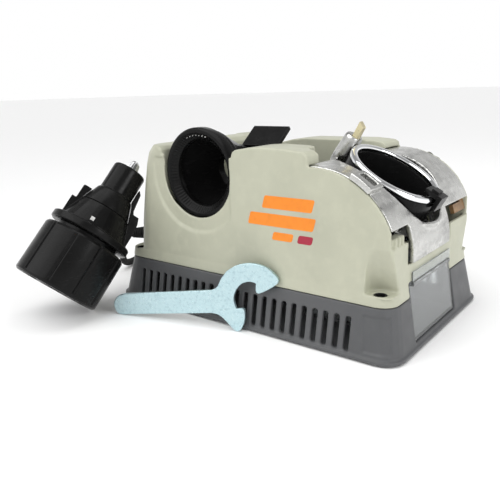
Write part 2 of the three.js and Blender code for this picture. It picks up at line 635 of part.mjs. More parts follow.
// ---- Debris tray ----
function debrisTray() {
  const side = (grow) => [
    [38 + grow, TRAY.z0 + grow], [121.9 - grow, TRAY.z0 + grow], [115.6 - grow, TRAY.z1 + (grow ? 5 : 0)],
    [38 + grow, TRAY.z1 + (grow ? 5 : 0)],
  ];
  const outer = extrudeY(side(0), TRAY.y0, TRAY.y1);
  const inner = extrudeY(side(1.8), TRAY.y0 + 1.8, TRAY.y1 - 1.8);
  const lowSide = box(30, 78, TRAY.y0 - 1, TRAY.y1 + 1, 19.5, 60);
  const divider = box(76, 78, TRAY.y0 + 1, TRAY.y1 - 1, TRAY.z0 + 1, 13);
  const lip = box(112.5, 117.4, TRAY.y0 + 4, TRAY.y1 - 1, TRAY.z1 - 2.6, TRAY.z1);
  return join(cut(outer, inner, lowSide), divider, lip);
}

place("debris_tray", debrisTray(), "clear");

// ---- Rocker switch in the back wall ----
function switchBezel() {
  const plate = box(-74, -46, 71.2, 72.8, 52, 74);
  const sleeve = box(-71.7, -48.3, 60.5, 71.6, 54.3, 71.7);
  return cut(join(plate, sleeve), box(-69.7, -50.3, 62.5, 80, 56.3, 69.7));
}

function rocker() {
  const side = [
    [66, 58.6], [73, 57.4], [74, 57.4], [74, 59], [72.3, 63],
    [75.4, 68], [75.4, 68.6], [74, 68.6], [66, 67.4],
  ];
  return extrudeX(side, -69.2, -50.8);
}

place("switch_bezel", switchBezel(), "black");
place("power_rocker", rocker(), "rubber");

// ---- Power cord: strain relief, free stretch, coil and plug ----
const cordRoute = [
  [-138.1, -46, 45.4], [-144.5, -46, 44.1], [-151.5, -45.2, 40], [-158.5, -43, 32.6], [-164.5, -40, 23.8],
  [-170, -35, 15], [-176, -28, 8.2], [-181, -19, 4.6], [-184.5, -8, 3.7], [-186, 5, 3.6], [-185, 20, 3.6],
  [-180.5, 36, 3.6], [-172.5, 51, 3.6], [-162, 65, 3.6], [-150, 79, 3.6], [-139, 94, 3.6], [-131, 110, 3.6],
  [-127, 126, 3.6],
];
const COIL = { x: -83, y: 140, across: 75, columns: 3, layers: 2 };

function strainRelief() {
  const reach = new THREE.Vector3(-25.5, 0, -4);
  const relief = turned(
    [[0, -6], [4.8, -6], [4.8, 0], [6.8, 0], [6.8, 2], [5.6, 3], [4.4, reach.length()], [0, reach.length()]],
    20, [0, 0, 0], reach.clone().normalize(),
  );
  return relief.translate([CORD_EXIT.x, CORD_EXIT.y, CORD_EXIT.z]);
}

function coilBounds(gap) {
  const half = (COIL.columns * CORD_D) / 2 + gap;
  const middle = COIL.across / 2;
  const top = GAP + COIL.layers * CORD_D + gap;
  return ring(middle - half, middle + half, GAP - gap, top, 48, [COIL.x, COIL.y, 0], Z);
}

function cordTube(points, steps) {
  const curve = new THREE.CatmullRomCurve3(points.map((p) => new THREE.Vector3(...p)));
  const section = new THREE.Shape().absarc(0, 0, CORD_D / 2, 0, Math.PI * 2);
  return toSolid(new THREE.ExtrudeGeometry(section, { steps, extrudePath: curve, curveSegments: 5 }));
}

// The plug lies beside the coil, its cord end where the last turn runs straight out of the coil.
const PLUG = { x0: -57.6, x1: -18, y: 184, height: 19.6, bladeZ: 10.3, bladeGap: 12.7 };

function plugBody() {
  const { x0, x1, y } = PLUG;
  const half = [[x0, 3], [x0 + 10, 3.6], [x0 + 16, 8], [x0 + 20, 10.5], [x1 - 2, 10.5], [x1, 9]];
  const plan = [...half, ...half.map(([px, py]) => [px, -py]).reverse()];
  const blank = extrudeZ(plan.map(([px, py]) => [px, py + y]).reverse(), 1, PLUG.height);
  const side = [
    [x0, 1.2], [x0 + 10, 1.2], [x0 + 18, 0.4], [x1, 0.4],
    [x1, PLUG.height], [x0 + 18, PLUG.height], [x0 + 10, 9], [x0, 8],
  ];
  const blades = [-1, 1].map((hand) => {
    const bladeY = y + (hand * PLUG.bladeGap) / 2;
    return box(x1 - 4, x1 + 17, bladeY - 0.8, bladeY + 0.8, PLUG.bladeZ - 3.2, PLUG.bladeZ + 3.2);
  });
  return join(blank.intersect(extrudeY(side, y - 20, y + 20)), ...blades);
}

place("strain_relief", strainRelief(), "rubber");
place("power_cord", cordTube(cordRoute, 56).subtract(coilBounds(GAP)), "rubber");
place("cord_coil", coilBounds(0), "rubber");
place("plug_body", plugBody(), "rubber");

// ---- Chuck, drawn along its own axis from the knob's end ----
const chuck = new THREE.Group();
const CHUCK_LEAN = THREE.MathUtils.degToRad(47.7);
const CHUCK_HEADING = THREE.MathUtils.degToRad(80.6);
const KNOB = { r: 33.2, length: 43.5, grooves: 10, firstGrooveDeg: 20 };
const NOSE = { r: 13.5, end: 110 };
const CONE = { s0: 53.8, r0: 26.8, s1: 86, r1: 14.9 };
const FRONT_DEG = -38;
const chuckAxis = new THREE.Vector3(
  Math.cos(CHUCK_LEAN) * Math.cos(CHUCK_HEADING),
  Math.cos(CHUCK_LEAN) * Math.sin(CHUCK_HEADING),
  Math.sin(CHUCK_LEAN),
);
chuck.position.set(-124.6, -139.4, KNOB.r * Math.cos(CHUCK_LEAN) + 0.1);
chuck.quaternion.setFromUnitVectors(Z, chuckAxis);
sharpener.add(chuck);

function chuckKnob() {
  const turnedBlank = turned(
    [[0, 0], [31.6, 0], [KNOB.r, 1.6], [KNOB.r, KNOB.length - 2], [32, KNOB.length], [0, KNOB.length]], 50,
  );
  const groove = rod(1.7, 3, KNOB.length + 1, 4, [KNOB.r + 0.3, 0, 0], Z);
  let knob = turnedBlank;
  for (let i = 0; i < KNOB.grooves; i++) {
    knob = knob.subtract(groove.rotate([0, 0, KNOB.firstGrooveDeg + (i * 360) / KNOB.grooves]));
  }
  return cut(knob, rod(12.5, -1, 60, 28), ring(16, 28, -1, 5, 28));
}

function coneR(s) {
  return THREE.MathUtils.mapLinear(s, CONE.s0, CONE.s1, CONE.r0, CONE.r1);
}

const CAM = { innerR: 18, top: 71.9, toothR: 26.3, toothTop: 67, toothWidth: 6.2, tabHalf: 4.5 };
const LEFT_TAB = [
  [20, 53.8], [27.4, 53.8], [27.4, 69], [24, 69], [24, 80.2], [23.2, 81], [17.1, 81], [20.5, 71.5],
];
const RIGHT_TAB = [
  [20, 53.8], [28, 53.8], [28, 66], [27, 75.4], [25, 80.4], [20.3, 80.4], [19, 83], [17, 97], [14.4, 100],
  [13.9, 99], [13.9, 88], [15.3, 86.2], [17.2, 81], [20.5, 71.5],
];

function chuckBody() {
  const outside = turned([
    [0, 43.8], [25, 43.8], [25, 47], [31, 47], [32.4, 48], [32.4, 52.6], [31.4, 53.4], [17.6, 53.4],
    [17.6, 72.3], [coneR(72.3), 72.3], [CONE.r1, CONE.s1], [NOSE.r, 87.5], [NOSE.r, 108.8],
    [12.9, NOSE.end], [0, NOSE.end],
  ], 40);
  return cut(outside, rod(12.2, 40, 120, 28));
}

// A cam collar: a smooth cone that carries on the body's, with teeth behind and a tall tab on each side.
function chuckCam() {
  const { innerR, top, toothR, toothTop, toothWidth, tabHalf } = CAM;
  const turnedBy = (solid, deg) => solid.rotate([0, 0, FRONT_DEG + deg]);
  const tooth = box(innerR + 1, toothR, -toothWidth / 2, toothWidth / 2, CONE.s0, toothTop);
  let cam = turned([[innerR, CONE.s0], [CONE.r0, CONE.s0], [coneR(top), top], [innerR, top]], 40);
  for (let deg = 112; deg <= 252; deg += 20) cam = cam.add(turnedBy(tooth, deg));
  cam = cam.add(turnedBy(extrudeY(LEFT_TAB, -tabHalf, tabHalf), -90));
  return cam.add(turnedBy(extrudeY(RIGHT_TAB, -tabHalf, tabHalf), 90));
}

place("chuck_knob", chuckKnob(), "black", chuck);
place("chuck_body", chuckBody(), "black", chuck);
place("chuck_cam", chuckCam(), "black", chuck);
for (let i = 0; i < 6; i++) {
  const jaw = new THREE.Group();
  jaw.rotation.z = (i * Math.PI) / 3;
  chuck.add(jaw);
  const side = [[1.7, 112], [5.6, 82], [5.6, 112], [4.2, 117.5], [1.7, 119.5]];
  place("jaw_" + (i + 1), extrudeY(side, -0.65, 0.65), "steel", jaw);
}

// ---- Flat spanner, drawn in its own plane and stood on edge against the front ----
const spanner = new THREE.Group();
const SPANNER = { heading: 14.5, lean: 1.7, thickness: 2.9 };

function spannerOutline() {
  const shape = new THREE.Shape();
  const through = (points) => shape.splineThru(points.map((p) => new THREE.Vector2(...p)));
  shape.moveTo(-95, 0.3);
  shape.lineTo(-17.3, 11.2);
  through([[-12, 10.9], [-8, 8.8], [-3.3, 4.6], [0.6, 1], [3.1, 0.1]]);
  through([[5.8, 1.6], [8.7, 7.8], [9.3, 14], [8.6, 17.4]]);
  shape.lineTo(7.4, 18);
  shape.lineTo(2.7, 17);
  through([[0.8, 23.7], [2.8, 30.6], [7.3, 35.8], [13.1, 37.9], [18, 37.1]]);
  through([[17.6, 32.4], [18.6, 30.3], [20.8, 30.3], [27.2, 33.7], [33.2, 38.1], [34.4, 40.5], [33.4, 43]]);
  through([[28.2, 47.8], [21.3, 50.5], [12.9, 51], [3.3, 48.6], [-4.2, 43.7]]);
  through([[-8.8, 37.5], [-12, 31.3], [-17, 28.4]]);
  shape.lineTo(-83, 18.6);
  through([[-92, 17.2], [-98, 14.4], [-101.5, 8.5], [-99.7, 1.8], [-95, 0.3]]);
  return shape;
}

spanner.position.set(5, -84.8, 0.1);
spanner.rotation.set(
  THREE.MathUtils.degToRad(-SPANNER.lean), 0, THREE.MathUtils.degToRad(SPANNER.heading), "ZYX",
);
sharpener.add(spanner);
place("flat_spanner", extrudeY(spannerOutline(), 0, SPANNER.thickness), "zinc", spanner);

export default sharpener;
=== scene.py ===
"""Looks for the drill bit sharpener: mouldings, castings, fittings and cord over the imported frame.

Sizes are in millimetres where a name or a comment says so, and MM turns them into Blender's metres.
"""

import json
import math

import bmesh
import bpy
from mathutils import Matrix, Vector


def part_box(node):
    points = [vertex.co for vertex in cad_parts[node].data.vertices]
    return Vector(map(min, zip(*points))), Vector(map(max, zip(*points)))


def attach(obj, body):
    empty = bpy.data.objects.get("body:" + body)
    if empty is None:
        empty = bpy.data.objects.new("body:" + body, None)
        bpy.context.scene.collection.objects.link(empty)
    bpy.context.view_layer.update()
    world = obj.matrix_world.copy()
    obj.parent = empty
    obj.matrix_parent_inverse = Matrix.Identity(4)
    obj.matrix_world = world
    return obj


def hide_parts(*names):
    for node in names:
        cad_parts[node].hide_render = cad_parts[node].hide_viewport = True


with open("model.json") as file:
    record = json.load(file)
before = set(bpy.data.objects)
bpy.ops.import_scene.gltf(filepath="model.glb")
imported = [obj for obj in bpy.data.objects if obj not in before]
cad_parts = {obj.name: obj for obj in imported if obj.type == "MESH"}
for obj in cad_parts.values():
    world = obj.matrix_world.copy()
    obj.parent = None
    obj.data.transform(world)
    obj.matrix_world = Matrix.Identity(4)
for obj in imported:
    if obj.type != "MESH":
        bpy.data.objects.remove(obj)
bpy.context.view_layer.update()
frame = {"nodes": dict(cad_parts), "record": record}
nodes = frame["nodes"]
scene = bpy.context.scene
scene.view_settings.view_transform = "Standard"
MM = 0.001
TURN = 2 * math.pi

# ---- Camera ----
CAMERA_AT = (0.24774, -0.37247, 0.1642)
CAMERA_AZIMUTH, CAMERA_ELEVATION, CAMERA_ROLL = (math.radians(a) for a in (38.07, 15.56, -1.7))
CAMERA_LENS = 41.245


def add_camera():
    az, el, roll = CAMERA_AZIMUTH, CAMERA_ELEVATION, CAMERA_ROLL
    back = Vector((math.sin(az) * math.cos(el), -math.cos(az) * math.cos(el), math.sin(el)))
    right = Vector((0, 0, 1)).cross(back).normalized()
    up = back.cross(right)
    level_right = right * math.cos(roll) + up * math.sin(roll)
    level_up = up * math.cos(roll) - right * math.sin(roll)
    data = bpy.data.cameras.new("camera")
    data.lens = CAMERA_LENS
    data.sensor_width = 36
    camera = bpy.data.objects.new("camera", data)
    camera.matrix_world = Matrix.Translation(CAMERA_AT) @ Matrix((level_right, level_up, back)).transposed().to_4x4()
    scene.collection.objects.link(camera)
    scene.camera = camera


# ---- Frames the machine's parts are drawn in ----
PIVOT = Vector((61, -8, 60))
PORT_TILT = math.radians(30)
ALIGN_AXIS = Vector((-37.9, 0, 106.9))
MOTOR_AXIS = Vector((0, -8, 41))
CHUCK_LEAN, CHUCK_HEADING = math.radians(47.7), math.radians(80.6)
CHUCK_KNOB_R = 33.2

ALONG_X = Matrix.Rotation(math.radians(90), 4, "Y")
ALONG_Y = Matrix.Rotation(math.radians(-90), 4, "X")
PORT = Matrix.Translation(PIVOT) @ Matrix.Rotation(PORT_TILT, 4, "Y")
ALIGN = Matrix.Translation(ALIGN_AXIS) @ ALONG_Y
MOTOR = Matrix.Translation(MOTOR_AXIS) @ ALONG_X


def chuck_frame():
    lean, heading = CHUCK_LEAN, CHUCK_HEADING
    axis = Vector((math.cos(lean) * math.cos(heading), math.cos(lean) * math.sin(heading), math.sin(lean)))
    turn = Vector((0, 0, 1)).rotation_difference(axis)
    foot = Vector((-124.6, -139.4, CHUCK_KNOB_R * math.cos(lean) + 0.1))
    return Matrix.Translation(foot) @ turn.to_matrix().to_4x4()


CHUCK = chuck_frame()


# ---- Materials ----
class Look:
    """A principled material that is built up in layers of procedural colour, roughness and relief."""

    def __init__(self, name, color, roughness, metallic=0.0, **sockets):
        self.material = bpy.data.materials.new(name)
        self.material.use_nodes = True
        self.tree = self.material.node_tree
        self.shader = self.tree.nodes["Principled BSDF"]
        self.color = (*color, 1)
        self.set("Base Color", self.color)
        self.set("Roughness", roughness)
        self.set("Metallic", metallic)
        for socket, value in sockets.items():
            self.set(socket.replace("_", " "), value)
        self.place = self.tree.nodes.new("ShaderNodeTexCoord").outputs["Object"]
        self.normal = None
        self.base = None

    def set(self, socket, value):
        self.shader.inputs[socket].default_value = value

    def link(self, source, target):
        self.tree.links.new(source, target)

    def noise(self, size_mm, detail=3, stretch=None, roughness=0.55):
        texture = self.tree.nodes.new("ShaderNodeTexNoise")
        texture.inputs["Scale"].default_value = 1 / (size_mm * MM)
        texture.inputs["Detail"].default_value = detail
        texture.inputs["Roughness"].default_value = roughness
        self.link(self.stretched(stretch), texture.inputs["Vector"])
        return texture.outputs["Fac"]

    def cells(self, size_mm, feature="F1"):
        texture = self.tree.nodes.new("ShaderNodeTexVoronoi")
        texture.feature = feature
        texture.inputs["Scale"].default_value = 1 / (size_mm * MM)
        self.link(self.place, texture.inputs["Vector"])
        return texture.outputs["Distance"]

    def stretched(self, stretch):
        if stretch is None:
            return self.place
        mapping = self.tree.nodes.new("ShaderNodeMapping")
        mapping.inputs["Scale"].default_value = stretch
        self.link(self.place, mapping.inputs["Vector"])
        return mapping.outputs["Vector"]

    def spread(self, value, low_in, high_in, low, high):
        """value between low_in and high_in, taken to low and high."""
        node = self.tree.nodes.new("ShaderNodeMapRange")
        for socket, number in zip(("From Min", "From Max", "To Min", "To Max"), (low_in, high_in, low, high)):
            node.inputs[socket].default_value = number
        self.link(value, node.inputs["Value"])
        return node.outputs["Result"]

    def blotch(self, other, value, low_in=0.4, high_in=0.65, share=1.0):
        """Another colour where value is high."""
        mix = self.tree.nodes.new("ShaderNodeMix")
        mix.data_type = "RGBA"
        self.link(self.spread(value, low_in, high_in, 0, share), mix.inputs[0])
        if self.base is None:
            mix.inputs[6].default_value = self.color
        else:
            self.link(self.base, mix.inputs[6])
        mix.inputs[7].default_value = (*other, 1)
        self.base = mix.outputs[2]
        self.link(self.base, self.shader.inputs["Base Color"])
        return self

    def vary_roughness(self, value, low, high, low_in=0.3, high_in=0.7):
        self.link(self.spread(value, low_in, high_in, low, high), self.shader.inputs["Roughness"])
        return self

    def relief(self, value, depth_mm, strength=1.0):
        bump = self.tree.nodes.new("ShaderNodeBump")
        bump.inputs["Distance"].default_value = depth_mm * MM
        bump.inputs["Strength"].default_value = strength
        self.link(value, bump.inputs["Height"])
        if self.normal is not None:
            self.link(self.normal, bump.inputs["Normal"])
        self.normal = bump.outputs["Normal"]
        self.link(self.normal, self.shader.inputs["Normal"])
        return self


DARK_SHEEN = 0.12


def scaled(color, factor):
    return tuple(min(1, c * factor) for c in color)


def moulded(name, color, roughness, grain_mm, grain_depth_mm, sheen=0.4):
    """Moulded plastic: a spark-textured skin, slightly cloudy colour and faint flow marks."""
    look = Look(name, color, roughness, Specular_IOR_Level=sheen)
    look.blotch(scaled(color, 0.86), look.noise(38, 4), 0.42, 0.7, 0.7)
    look.blotch(scaled(color, 1.12), look.noise(9, 2), 0.5, 0.72, 0.35)
    look.vary_roughness(look.noise(14, 4), roughness * 0.85, roughness * 1.15)
    look.relief(look.noise(grain_mm, 2), grain_depth_mm)
    look.relief(look.noise(26, 1), 0.05, 0.5)
    return look.material


def gloss(name, color, roughness, dust=0.4):
    """Polished dark plastic with faint handling smears and specks of dust."""
    look = Look(name, color, roughness, Specular_IOR_Level=DARK_SHEEN)
    look.blotch(scaled(color, 2), look.noise(1.1, 2), 0.62, 0.78, dust)
    look.blotch(scaled(color, 1.5), look.noise(22, 4), 0.45, 0.7, 0.6)
    look.vary_roughness(look.noise(11, 4, stretch=(1, 1, 2.4)), roughness * 0.8, roughness * 1.6)
    look.relief(look.noise(3.2, 2), 0.01)
    return look.material


def metal(name, color, roughness, brush=None, pits_mm=1.2, pit_depth=0.012, tarnish=0.8):
    """Bare or plated metal: tool marks along brush, small pits and patches that have dulled."""
    look = Look(name, color, roughness, metallic=1.0)
    look.blotch(scaled(color, 0.82), look.noise(17, 4), 0.42, 0.68, tarnish)
    look.blotch(scaled(color, 0.7), look.noise(0.9, 2), 0.6, 0.75, tarnish * 0.5)
    marks = look.noise(0.7, 4, stretch=brush)
    look.vary_roughness(marks, roughness * 0.75, roughness * 1.45)
    look.relief(marks, 0.006)
    look.relief(look.noise(pits_mm, 3), pit_depth)
    return look.material


def rubber(name, color, roughness):
    look = Look(name, color, roughness, Specular_IOR_Level=DARK_SHEEN)
    look.blotch(scaled(color, 1.7), look.noise(6, 4), 0.48, 0.72, 0.7)
    look.vary_roughness(look.noise(3, 3), roughness * 0.85, min(1, roughness * 1.15))
    look.relief(look.noise(0.55, 3), 0.03)
    look.relief(look.cells(1.4), 0.02, 0.5)
    return look.material


def zinc_plate():
    """Bluish zinc with the fine spangle and the scuffs of stamped steel."""
    color = (0.53, 0.70, 0.74)
    look = Look("zinc_plate", color, 0.33, metallic=0.85)
    look.blotch((0.36, 0.52, 0.57), look.noise(2.4, 5, roughness=0.7), 0.5, 0.66, 0.75)
    look.blotch((0.72, 0.84, 0.86), look.noise(1.0, 3), 0.58, 0.7, 0.65)
    look.blotch((0.25, 0.33, 0.36), look.noise(0.6, 2), 0.68, 0.78, 0.55)
    look.vary_roughness(look.noise(3.5, 5), 0.24, 0.5)
    look.relief(look.noise(0.8, 4), 0.02)
    look.relief(look.noise(7, 2, stretch=(1, 1, 3)), 0.03, 0.6)
    return look.material


def cast_alloy():
    """Tumbled die-casting: bright, cloudy and a little wavy, with dull streaks across it."""
    look = Look("cast_alloy", (0.60, 0.60, 0.58), 0.26, metallic=1)
    look.blotch((0.33, 0.33, 0.32), look.noise(9, 5, stretch=(1, 0.3, 1)), 0.48, 0.66, 0.75)
    look.blotch((0.82, 0.82, 0.80), look.noise(6, 4, stretch=(0.4, 1, 1)), 0.56, 0.7, 0.5)
    look.vary_roughness(look.noise(5, 4), 0.18, 0.4)
    look.relief(look.noise(8, 3), 0.16, 0.7)
    look.relief(look.noise(0.7, 3), 0.004)
    return look.material


def clear_plastic():
    """Clear moulding, faintly clouded by use."""
    look = Look("clear_tray", (0.86, 0.89, 0.90), 0.04, Transmission_Weight=0.94, IOR=1.46)
    look.vary_roughness(look.noise(12, 4), 0.02, 0.1)
    look.relief(look.noise(14, 2), 0.03, 0.5)
    look.relief(look.noise(0.8, 3), 0.003)
    return look.material


def grit():
    look = Look("diamond_grit", (0.26, 0.25, 0.23), 0.62, metallic=0.5)
    look.blotch((0.55, 0.53, 0.48), look.cells(0.5), 0.35, 0.6, 0.8)
    look.vary_roughness(look.noise(1.2), 0.45, 0.8)
    look.relief(look.cells(0.45), 0.12)
    return look.material


def wound_copper():
    look = Look("wound_copper", (0.50, 0.19, 0.07), 0.32, metallic=0.9)
    wave = look.noise(0.8, 1, stretch=(0.05, 1, 1))
    look.blotch((0.24, 0.08, 0.03), wave, 0.45, 0.6, 0.8)
    look.vary_roughness(look.noise(4), 0.25, 0.45)
    look.relief(wave, 0.1)
    return look.material


def phenolic():
    look = Look("phenolic_strip", (0.20, 0.11, 0.045), 0.46)
    look.blotch((0.30, 0.18, 0.08), look.noise(3.5, 5, stretch=(1, 0.15, 1)), 0.45, 0.62, 0.8)
    look.vary_roughness(look.noise(5), 0.34, 0.55)
    look.relief(look.noise(0.5, 3, stretch=(1, 0.1, 1)), 0.02)
    return look.material


def print_ink(name, color):
    """Screen-printed ink: dense, satin and slightly uneven."""
    look = Look(name, color, 0.38)
    look.blotch(scaled(color, 0.88), look.noise(5, 3), 0.45, 0.7, 0.8)
    look.vary_roughness(look.noise(2), 0.3, 0.46)
    look.relief(look.noise(0.35, 2), 0.006)
    return look.material


HOUSING_BEIGE = (0.47, 0.475, 0.372)
BASE_GREY = (0.088, 0.090, 0.094)
BLACK = (0.007, 0.007, 0.007)
ORANGE = (0.86, 0.245, 0.012)
DARK_RED = (0.36, 0.012, 0.04)

LOOKS = {
    "housing_beige": moulded("housing_plastic", HOUSING_BEIGE, 0.42, 0.42, 0.015),
    "base_grey": moulded("base_plastic", BASE_GREY, 0.46, 0.5, 0.035),
    "gloss_black": gloss("gloss_black", BLACK, 0.2),
    "black_plastic": moulded("black_plastic", (0.012, 0.012, 0.012), 0.36, 0.45, 0.015, DARK_SHEEN),
    "soft_rubber": rubber("soft_rubber", (0.013, 0.013, 0.013), 0.68),
    "cast_alloy": cast_alloy(),
    "chrome_trim": metal("chrome_trim", (0.88, 0.89, 0.90), 0.06, pit_depth=0.002, tarnish=0.15),
    "bright_steel": metal("bright_steel", (0.56, 0.56, 0.57), 0.27, brush=(0.2, 1, 1)),
    "zinc_steel": zinc_plate(),
    "black_oxide": metal("black_oxide", (0.035, 0.035, 0.036), 0.4, pit_depth=0.006),
    "copper_winding": wound_copper(),
    "brass_pin": metal("brass_pin", (0.80, 0.72, 0.47), 0.3, brush=(1, 1, 0.2)),
    "wear_strip_tan": phenolic(),
    "clear_tray": clear_plastic(),
    "diamond_grit": grit(),
}
INK_ORANGE = print_ink("ink_orange", ORANGE)
INK_RED = print_ink("ink_red", DARK_RED)
INK_WHITE = print_ink("ink_white", (0.78, 0.78, 0.76))
BLADE_METAL = metal("blade_metal", (0.66, 0.60, 0.46), 0.28, brush=(0.2, 1, 1))

node_slot = {part["node"]: part["material_slot"] for part in frame["record"]["subparts"]}


# ---- Making pieces ----
def add_piece(name, mesh, body, slot, look=None):
    obj = bpy.data.objects.new(name, mesh)
    scene.collection.objects.link(obj)
    mesh.materials.append(look or LOOKS[slot])
    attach(obj, body)
    return obj


def mesh_of(name, bm, smooth=True):
    bmesh.ops.remove_doubles(bm, verts=bm.verts, dist=0.001 * MM)
    bmesh.ops.recalc_face_normals(bm, faces=bm.faces)
    mesh = bpy.data.meshes.new(name)
    bm.to_mesh(mesh)
    bm.free()
    mesh.shade_smooth() if smooth else mesh.shade_flat()
    return mesh


def closed(bm, rings):
    """Faces between each ring of vertices and the next; a ring of one vertex is a pole."""
    for below, above in zip(rings, rings[1:]):
        count = max(len(below), len(above))
        for i in range(count):
            corners = [below[i % len(below)], below[(i + 1) % len(below)]]
            corners += [above[(i + 1) % len(above)], above[i % len(above)]]
            unique = list(dict.fromkeys(corners))
            if len(unique) > 2:
                bm.faces.new(unique)


def rounded_profile(profile, radius=0.5, steps=3):
    """A profile of [radius, height] points with each corner off the axis turned into a small arc."""
    loop = profile[0][0] > 0
    out = []
    last = len(profile) - 1
    for i, point in enumerate(profile):
        at = Vector(point)
        if not loop and i in (0, last):
            out.append(at)
            continue
        before, after = Vector(profile[i - 1]), Vector(profile[(i + 1) % len(profile)])
        reach = min(radius, (before - at).length * 0.45, (after - at).length * 0.45)
        start, end = at + (before - at).normalized() * reach, at + (after - at).normalized() * reach
        for step in range(steps + 1):
            t = step / steps
            out.append(start.lerp(at, t).lerp(at.lerp(end, t), t))
    return out + [out[0]] if loop else out


def turned(name, profile, place, body, slot, replaced=(), segments=144, corner=0.5, shape=None, look=None):
    """A turned piece. shape(radius, height, angle) may change a point's radius, for flutes and ribs."""
    bm = bmesh.new()
    rings = []
    for r, h in rounded_profile(profile, corner):
        if r < 1e-6:
            rings.append([bm.verts.new(place @ Vector((0, 0, h)) * MM)])
            continue
        ring = []
        for i in range(segments):
            angle = TURN * i / segments
            here = shape(r, h, angle) if shape else r
            ring.append(bm.verts.new(place @ Vector((here * math.cos(angle), here * math.sin(angle), h)) * MM))
        rings.append(ring)
    closed(bm, rings)
    obj = add_piece(name, mesh_of(name, bm), body, slot, look)
    if replaced:
        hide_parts(*replaced)
    return obj


def soften(node, voxel_mm, smoothing):
    """Rounds a CAD node's edges and evens out its facets, without moving its walls."""
    obj = nodes[node]
    remesh = obj.modifiers.new("remesh", "REMESH")
    remesh.mode = "VOXEL"
    remesh.voxel_size = voxel_mm * MM
    remesh.use_smooth_shade = True
    smooth = obj.modifiers.new("smooth", "SMOOTH")
    smooth.factor = 0.5
    smooth.iterations = smoothing
    return obj


def bevelled(node, width_mm=0.4):
    """Small rounded edges on a CAD node that keeps its facets."""
    obj = nodes[node]
    obj.data.shade_smooth()
    weld = obj.modifiers.new("weld", "WELD")
    weld.merge_threshold = 0.002 * MM
    bevel = obj.modifiers.new("bevel", "BEVEL")
    bevel.width = width_mm * MM
    bevel.segments = 2
    bevel.limit_method = "ANGLE"
    bevel.angle_limit = math.radians(32)
    bevel.harden_normals = True
    normals = obj.modifiers.new("normals", "WEIGHTED_NORMAL")
    normals.keep_sharp = True
    return obj


def paint_frame():
    for name, obj in nodes.items():
        obj.data.materials.clear()
        obj.data.materials.append(LOOKS[node_slot[name]])


# ---- Power cord ----
CORD_D = 6.5
CORD_ROUTE = [
    (-138.1, -46, 45.4), (-144.5, -46, 44.1), (-151.5, -45.2, 40), (-158.5, -43, 32.6), (-164.5, -40, 23.8),
    (-170, -35, 15), (-176, -28, 8.2), (-181, -19, 4.6), (-184.5, -8, 3.7), (-186, 5, 3.6), (-185, 20, 3.6),
    (-180.5, 36, 3.6), (-172.5, 51, 3.6), (-162, 65, 3.6), (-150, 79, 3.6), (-139, 94, 3.6), (-131, 110, 3.6),
    (-127, 126, 3.6),
]
COIL_CENTRE = (-83, 140)
COIL_OUTER, COIL_FLOOR = 44, 3.55
COIL_END = 2250
TO_PLUG = [(-77, 184, 9.7), (-70, 184, 7.9), (-63, 184, 5.7), (-57.9, 184, 4.7)]


def eased(t):
    t = max(0, min(1, t))
    return t * t * (3 - 2 * t)


def coil_point(degrees):
    """Three turns inwards on the floor, then three and a quarter outwards on top of them."""
    inwards = eased((degrees - 290) / 70) + eased((degrees - 650) / 70)
    outwards = eased((degrees - 1190) / 90) + eased((degrees - 1550) / 90)
    r = COIL_OUTER + CORD_D * (outwards - inwards)
    height = COIL_FLOOR + CORD_D * eased((degrees - 920) / 90)
    angle = math.radians(180 - degrees)
    return (COIL_CENTRE[0] + r * math.cos(angle), COIL_CENTRE[1] + r * math.sin(angle), height)


def power_cord(plug_pieces):
    coil_step = 20
    coil = [coil_point(degrees) for degrees in range(0, COIL_END, coil_step)] + [coil_point(COIL_END)]
    route = CORD_ROUTE + coil + TO_PLUG
    curve = bpy.data.curves.new("cord", "CURVE")
    curve.dimensions = "3D"
    curve.bevel_depth = CORD_D / 2 * MM
    curve.bevel_resolution = 4
    curve.resolution_u = 4
    curve.use_fill_caps = True
    spline = curve.splines.new("BEZIER")
    spline.bezier_points.add(len(route) - 1)
    for point, at in zip(spline.bezier_points, route):
        point.co = Vector(at) * MM
        point.handle_left_type = point.handle_right_type = "AUTO"
    spline.use_smooth = True
    cord = bpy.data.objects.new("supply_cord", curve)
    scene.collection.objects.link(cord)
    curve.materials.append(LOOKS["soft_rubber"])
    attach(cord, "machine")
    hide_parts("power_cord", "cord_coil")


CORD_EXIT = Vector((-112.3, -46, 49.5))
RELIEF_REACH = Vector((-25.5, 0, -4))


def strain_relief_boot():
    """A tapered boot with a collar and a row of bending ribs."""
    turn = Vector((0, 0, 1)).rotation_difference(RELIEF_REACH)
    place = Matrix.Translation(CORD_EXIT) @ turn.to_matrix().to_4x4()
    length = RELIEF_REACH.length
    profile = [(0, -5.8), (4.7, -5.8), (4.7, 0), (6.7, 0), (6.7, 2), (5.5, 3)]
    ribs = 6
    for i in range(ribs):
        start = 4.4 + i * (length - 6) / ribs
        r = 5.5 - 1.1 * i / ribs
        profile += [(r, start), (r, start + 1.6), (r - 0.8, start + 2), (r - 0.8, start + 3)]
    profile += [(4.3, length - 1), (4.3, length), (0, length)]
    return turned(
        "strain_relief_boot", profile, place, "machine", "soft_rubber", ["strain_relief"], segments=64, corner=0.25,
    )


